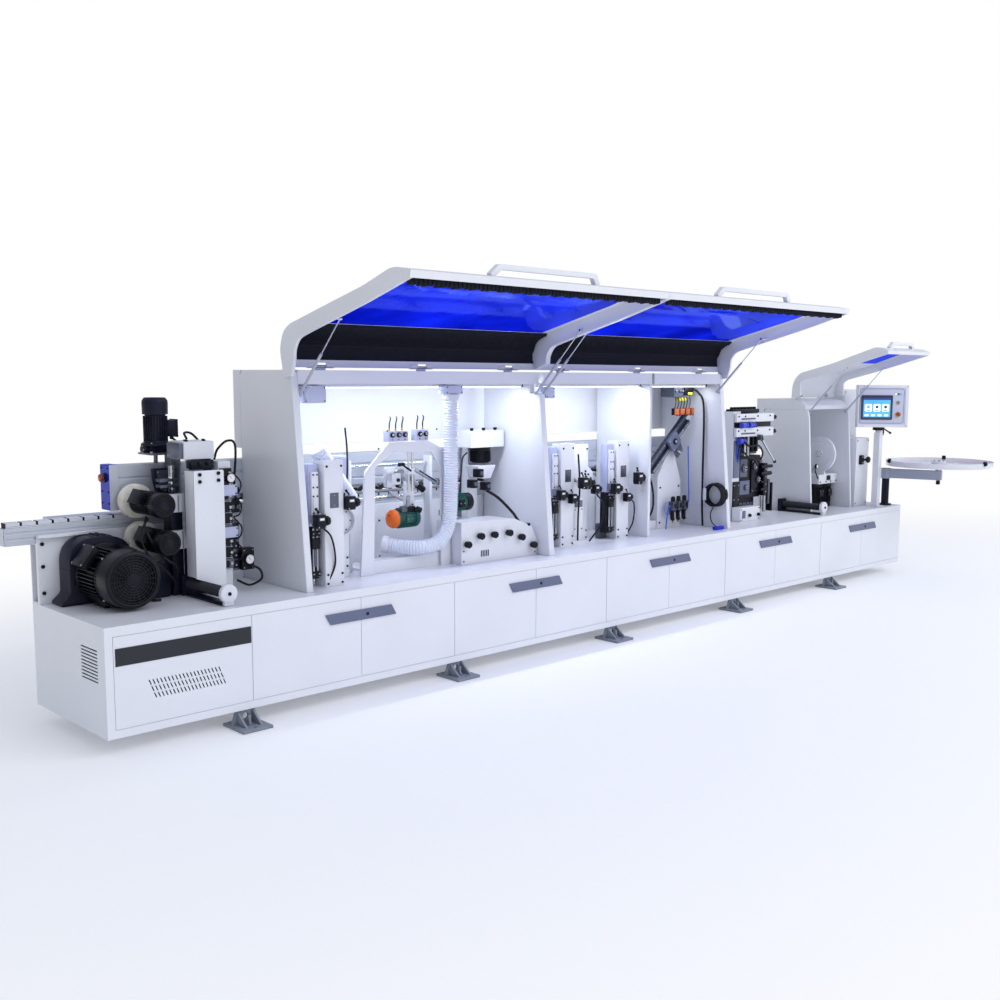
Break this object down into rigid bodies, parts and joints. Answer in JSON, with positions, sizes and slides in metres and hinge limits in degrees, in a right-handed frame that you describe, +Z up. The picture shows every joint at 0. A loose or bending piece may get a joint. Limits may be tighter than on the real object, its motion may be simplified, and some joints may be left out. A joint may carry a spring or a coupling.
{
  "type": "edge banding machine",
  "caption": "Long automatic edge banding machine with chain feed, top pressure beam, working units under lifting glazed hoods, swivelling console and tape tray.",
  "frame": {"origin": "centre of the part's plan box at floor level, under the levelling feet", "axes": "+X along the feed line from the outfeed end to the infeed end, +Y from the operator side to the rear, +Z up"},
  "size_m": [7.895, 1.692, 2.239],
  "materials": {
    "white_sheet": "semi-gloss powder coat",
    "grey_casting": "satin",
    "dark_steel": "satin near-black enamel",
    "bright_steel": "machined",
    "aluminium_profile": "anodised",
    "pad_rubber": "matte",
    "buff_cloth": "soft stitched cloth",
    "end_cap_blue": "gloss",
    "stop_red": "gloss",
    "window_blue": "tinted clear sheet",
    "foam_black": "open-cell foam",
    "strut_black": "satin",
    "rod_chrome": "polished",
    "lamp_cover": "frosted",
    "hose_plastic": "ribbed flexible",
    "knob_black": "moulded",
    "valve_black": "moulded",
    "screen_black": "glossy bezel with touch display",
    "tray_white": "smooth",
    "roller_steel": "knurled"
  },
  "bodies": {
    "base": {"base_cabinet": "white_sheet", "fixed_panels": "white_sheet", "levelling_feet": "grey_casting", "rear_rail": "white_sheet", "chain_beam": "aluminium_profile", "lift_motor": "dark_steel", "drive_motor": "dark_steel", "buffing_unit": "dark_steel", "scraper_unit": "white_sheet", "enclosure_walls": "white_sheet", "enclosure_roof": "white_sheet", "work_lights": "lamp_cover", "unit_columns": "white_sheet", "dust_hoods": "white_sheet", "corner_unit_frame": "white_sheet", "endcut_guide": "bright_steel", "pneumatics": "valve_black", "adjusting_knobs": "knob_black", "hoses_and_cables": "hose_plastic", "unit_slides": "dark_steel", "glue_unit": "white_sheet", "premill_unit": "white_sheet", "console_post": "white_sheet", "tray_post": "dark_steel"},
    "door_1_body": {"door_1": "white_sheet"},
    "door_2_body": {"door_2": "white_sheet"},
    "door_3_body": {"door_3": "white_sheet"},
    "door_4_body": {"door_4": "white_sheet"},
    "door_5_body": {"door_5": "white_sheet"},
    "hood_left": {"hood_left_shell": "white_sheet", "hood_left_window": "window_blue", "hood_left_foam": "foam_black"},
    "hood_centre": {"hood_centre_shell": "white_sheet", "hood_centre_window": "window_blue", "hood_centre_foam": "foam_black"},
    "hood_infeed": {"hood_infeed_shell": "white_sheet", "hood_infeed_window": "window_blue"},
    "strut_tubes_left": {"strut_cylinders_left": "strut_black"},
    "strut_pistons_left": {"strut_rods_left": "rod_chrome"},
    "strut_tubes_centre": {"strut_cylinders_centre": "strut_black"},
    "strut_pistons_centre": {"strut_rods_centre": "rod_chrome"},
    "strut_tubes_infeed": {"strut_cylinders_infeed": "strut_black"},
    "strut_pistons_infeed": {"strut_rods_infeed": "rod_chrome"},
    "top_pressure": {"pressure_beam": "aluminium_profile", "beam_end_cap": "end_cap_blue", "pressure_rollers": "pad_rubber"},
    "beam_stop_button": {"beam_estop_button": "stop_red"},
    "feed_chain": {"chain_pads": "pad_rubber"},
    "rear_support": {"support_rail": "aluminium_profile"},
    "upper_wheel": {"buff_wheel_upper": "buff_cloth"},
    "lower_wheel": {"buff_wheel_lower": "buff_cloth"},
    "corner_swing_arm": {"corner_arm": "dark_steel"},
    "saw_carriage": {"endcut_carriage": "dark_steel"},
    "glue_drum": {"glue_roller": "roller_steel"},
    "console": {"console_head": "white_sheet", "console_screen": "screen_black"},
    "console_stop_button": {"console_estop": "stop_red"},
    "console_key": {"console_key_switch": "knob_black"},
    "tray_swing_arm": {"tray_arm": "grey_casting"},
    "tray_disc": {"tape_tray": "tray_white"}
  },
  "joints": [
    {"name": "door_1_hinge", "type": "hinge", "parent": "base", "child": "door_1_body", "pos_m": [-1.7605, -0.047, 0.3365], "axis": [0, 0, 1], "range_deg": [0, 100]},
    {"name": "door_2_hinge", "type": "hinge", "parent": "base", "child": "door_2_body", "pos_m": [-0.4555, -0.047, 0.3365], "axis": [0, 0, 1], "range_deg": [0, 100]},
    {"name": "door_3_hinge", "type": "hinge", "parent": "base", "child": "door_3_body", "pos_m": [0.8525, -0.047, 0.3365], "axis": [0, 0, 1], "range_deg": [0, 100]},
    {"name": "door_4_hinge", "type": "hinge", "parent": "base", "child": "door_4_body", "pos_m": [2.1605, -0.047, 0.3365], "axis": [0, 0, 1], "range_deg": [0, 100]},
    {"name": "door_5_hinge", "type": "hinge", "parent": "base", "child": "door_5_body", "pos_m": [3.4685, -0.047, 0.3365], "axis": [0, 0, 1], "range_deg": [0, 100]},
    {"name": "hood_left_hinge", "type": "hinge", "parent": "base", "child": "hood_left", "pos_m": [-1.8015, 0.203, 1.749], "axis": [1, 0, 0], "range_deg": [0, 100]},
    {"name": "strut_left_pivot", "type": "hinge", "parent": "base", "child": "strut_tubes_left", "pos_m": [-1.8015, 0.153, 1.601], "axis": [1, 0, 0], "range_deg": [-1, 118.08]},
    {"name": "strut_left_slide", "type": "slide", "parent": "strut_tubes_left", "child": "strut_pistons_left", "axis": [0, -0.6965, 0.7176], "range_m": [-0.2077, 0.001]},
    {"name": "hood_centre_hinge", "type": "hinge", "parent": "base", "child": "hood_centre", "pos_m": [0.0785, 0.203, 1.749], "axis": [1, 0, 0], "range_deg": [0, 100]},
    {"name": "strut_centre_pivot", "type": "hinge", "parent": "base", "child": "strut_tubes_centre", "pos_m": [0.0785, 0.153, 1.601], "axis": [1, 0, 0], "range_deg": [-1, 118.08]},
    {"name": "strut_centre_slide", "type": "slide", "parent": "strut_tubes_centre", "child": "strut_pistons_centre", "axis": [0, -0.6965, 0.7176], "range_m": [-0.2077, 0.001]},
    {"name": "hood_infeed_hinge", "type": "hinge", "parent": "base", "child": "hood_infeed", "pos_m": [2.6645, 0.383, 1.556], "axis": [1, 0, 0], "range_deg": [0, 92]},
    {"name": "strut_infeed_pivot", "type": "hinge", "parent": "base", "child": "strut_tubes_infeed", "pos_m": [2.6645, 0.231, 1.42], "axis": [1, 0, 0], "range_deg": [-1, 129.36]},
    {"name": "strut_infeed_slide", "type": "slide", "parent": "strut_tubes_infeed", "child": "strut_pistons_infeed", "axis": [0, -0.6684, 0.7438], "range_m": [-0.1349, 0.001]},
    {"name": "beam_lift", "type": "slide", "parent": "base", "child": "top_pressure", "axis": [0, 0, 1], "range_m": [-0.008, 0.04]},
    {"name": "beam_stop_press", "type": "slide", "parent": "top_pressure", "child": "beam_stop_button", "axis": [1, 0, 0], "range_m": [0, 0.005]},
    {"name": "feed_chain_travel", "type": "slide", "parent": "base", "child": "feed_chain", "axis": [1, 0, 0], "range_m": [-0.038, 0.038]},
    {"name": "rear_support_slide", "type": "slide", "parent": "base", "child": "rear_support", "axis": [0, 1, 0], "range_m": [0, 0.5]},
    {"name": "upper_wheel_spin", "type": "hinge", "parent": "base", "child": "upper_wheel", "pos_m": [-3.3275, 0.593, 1.072], "axis": [0, 1, 0], "continuous": true},
    {"name": "lower_wheel_spin", "type": "hinge", "parent": "base", "child": "lower_wheel", "pos_m": [-3.3045, 0.593, 0.885], "axis": [0, 1, 0], "continuous": true},
    {"name": "corner_arm_swing", "type": "hinge", "parent": "base", "child": "corner_swing_arm", "pos_m": [-1.7515, 0.433, 1.11], "axis": [0, 1, 0], "range_deg": [-10, 10]},
    {"name": "saw_carriage_slide", "type": "slide", "parent": "base", "child": "saw_carriage", "axis": [0.7547, 0, 0.6561], "range_m": [-0.18, 0.15]},
    {"name": "glue_drum_spin", "type": "hinge", "parent": "base", "child": "glue_drum", "pos_m": [1.8885, 0.603, 1], "axis": [0, 0, 1], "continuous": true},
    {"name": "console_swivel", "type": "hinge", "parent": "base", "child": "console", "pos_m": [3.2185, 0.053, 1.259], "axis": [0, 0, 1], "range_deg": [-45, 0]},
    {"name": "console_stop_press", "type": "slide", "parent": "console", "child": "console_stop_button", "axis": [0.7071, 0.7071, 0], "range_m": [0, 0.005]},
    {"name": "console_key_turn", "type": "hinge", "parent": "console", "child": "console_key", "pos_m": [3.30194, -0.07286, 1.499], "axis": [0.7071, 0.7071, 0], "range_deg": [-45, 45]},
    {"name": "tray_swing", "type": "hinge", "parent": "base", "child": "tray_swing_arm", "pos_m": [3.3955, 0.057, 0.86], "axis": [0, 0, 1], "range_deg": [0, 60]},
    {"name": "tray_spin", "type": "hinge", "parent": "tray_swing_arm", "child": "tray_disc", "pos_m": [3.5095, -0.369, 0.96], "axis": [0, 0, 1], "continuous": true}
  ],
  "couplings": [
    {"joint": "strut_left_pivot", "follows": "hood_left_hinge", "ratio": 1.1708},
    {"joint": "strut_left_slide", "follows": "hood_left_hinge", "m_per_rad": -0.11842},
    {"joint": "strut_centre_pivot", "follows": "hood_centre_hinge", "ratio": 1.1708},
    {"joint": "strut_centre_slide", "follows": "hood_centre_hinge", "m_per_rad": -0.11842},
    {"joint": "strut_infeed_pivot", "follows": "hood_infeed_hinge", "ratio": 1.3952},
    {"joint": "strut_infeed_slide", "follows": "hood_infeed_hinge", "m_per_rad": -0.083405}
  ]
}
